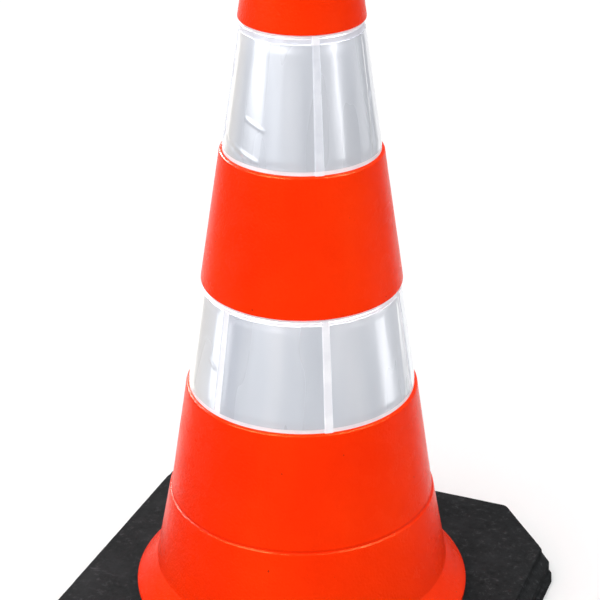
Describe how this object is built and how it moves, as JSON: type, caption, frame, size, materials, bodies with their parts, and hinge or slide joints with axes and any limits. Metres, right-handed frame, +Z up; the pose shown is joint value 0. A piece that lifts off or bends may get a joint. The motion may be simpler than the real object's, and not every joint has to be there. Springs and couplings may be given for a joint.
{
  "type": "traffic cone",
  "caption": "Two-piece traffic cone: hollow orange shell with recessed reflective bands, plugged into a black rubber ballast plate with cut corners.",
  "frame": {"origin": "on the ground, on the cone's axis, in the middle of the ballast plate's underside", "axes": "+Z up along the cone's axis towards its open tip; X and Y square to the ballast plate's straight sides"},
  "size_m": [0.392, 0.392, 0.75],
  "materials": {
    "orange_plastic": "satin moulded polyethylene, fine orange-peel",
    "white_vinyl": "smooth semi-gloss white vinyl",
    "reflective_film": "glossy silver prismatic film",
    "ballast_rubber": "matt recycled rubber, granular"
  },
  "bodies": {
    "base": {"ballast_base": "ballast_rubber"},
    "cone": {"cone_body": "orange_plastic", "lower_band_backing": "white_vinyl", "lower_band_panel_1": "reflective_film", "lower_band_panel_2": "reflective_film", "lower_band_panel_3": "reflective_film", "lower_band_panel_4": "reflective_film", "lower_band_panel_5": "reflective_film", "lower_band_panel_6": "reflective_film", "lower_band_seam_strip": "white_vinyl", "upper_band_backing": "white_vinyl", "upper_band_panel_1": "reflective_film", "upper_band_panel_2": "reflective_film", "upper_band_panel_3": "reflective_film", "upper_band_panel_4": "reflective_film", "upper_band_seam_strip": "white_vinyl"}
  },
  "joints": [
    {"name": "body_lift", "type": "slide", "parent": "base", "child": "cone", "axis": [0, 0, 1], "range_m": [0, 0.06]}
  ]
}
